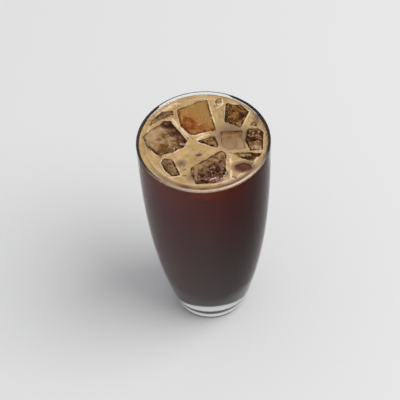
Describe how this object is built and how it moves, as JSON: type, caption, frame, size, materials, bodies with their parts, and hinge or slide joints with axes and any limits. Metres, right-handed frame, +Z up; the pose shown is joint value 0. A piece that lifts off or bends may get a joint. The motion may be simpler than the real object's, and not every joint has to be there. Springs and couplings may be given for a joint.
{
  "type": "iced coffee",
  "caption": "Tall tapered clear glass filled almost to the brim with black iced coffee, with a thin tan foam and ice pieces at the surface.",
  "frame": {"origin": "middle of the glass's foot, on the surface it stands on", "axes": "+Z up along the glass's axis, -Y towards the picture's camera, +X to its right"},
  "size_m": [0.08, 0.08, 0.153],
  "materials": {
    "glass": "clear polished soda-lime glass, fire-polished brim",
    "coffee": "very dark red-brown black coffee, clear only in thin layers",
    "foam": "thin tan coffee foam of fine bubbles, paler at its edges",
    "ice": "wet clear ice, tinted amber to dark brown by the coffee, with cracks and bubbles"
  },
  "bodies": {
    "root": {"glass": "glass", "coffee": "coffee", "foam": "foam", "ice_back": "ice", "ice_back_right": "ice", "ice_back_sliver": "ice", "ice_right_back": "ice", "ice_right": "ice", "ice_middle_right": "ice", "ice_wedge": "ice", "ice_left": "ice", "ice_left_back": "ice", "ice_shard": "ice", "ice_front": "ice", "ice_middle": "ice"}
  },
  "joints": []
}
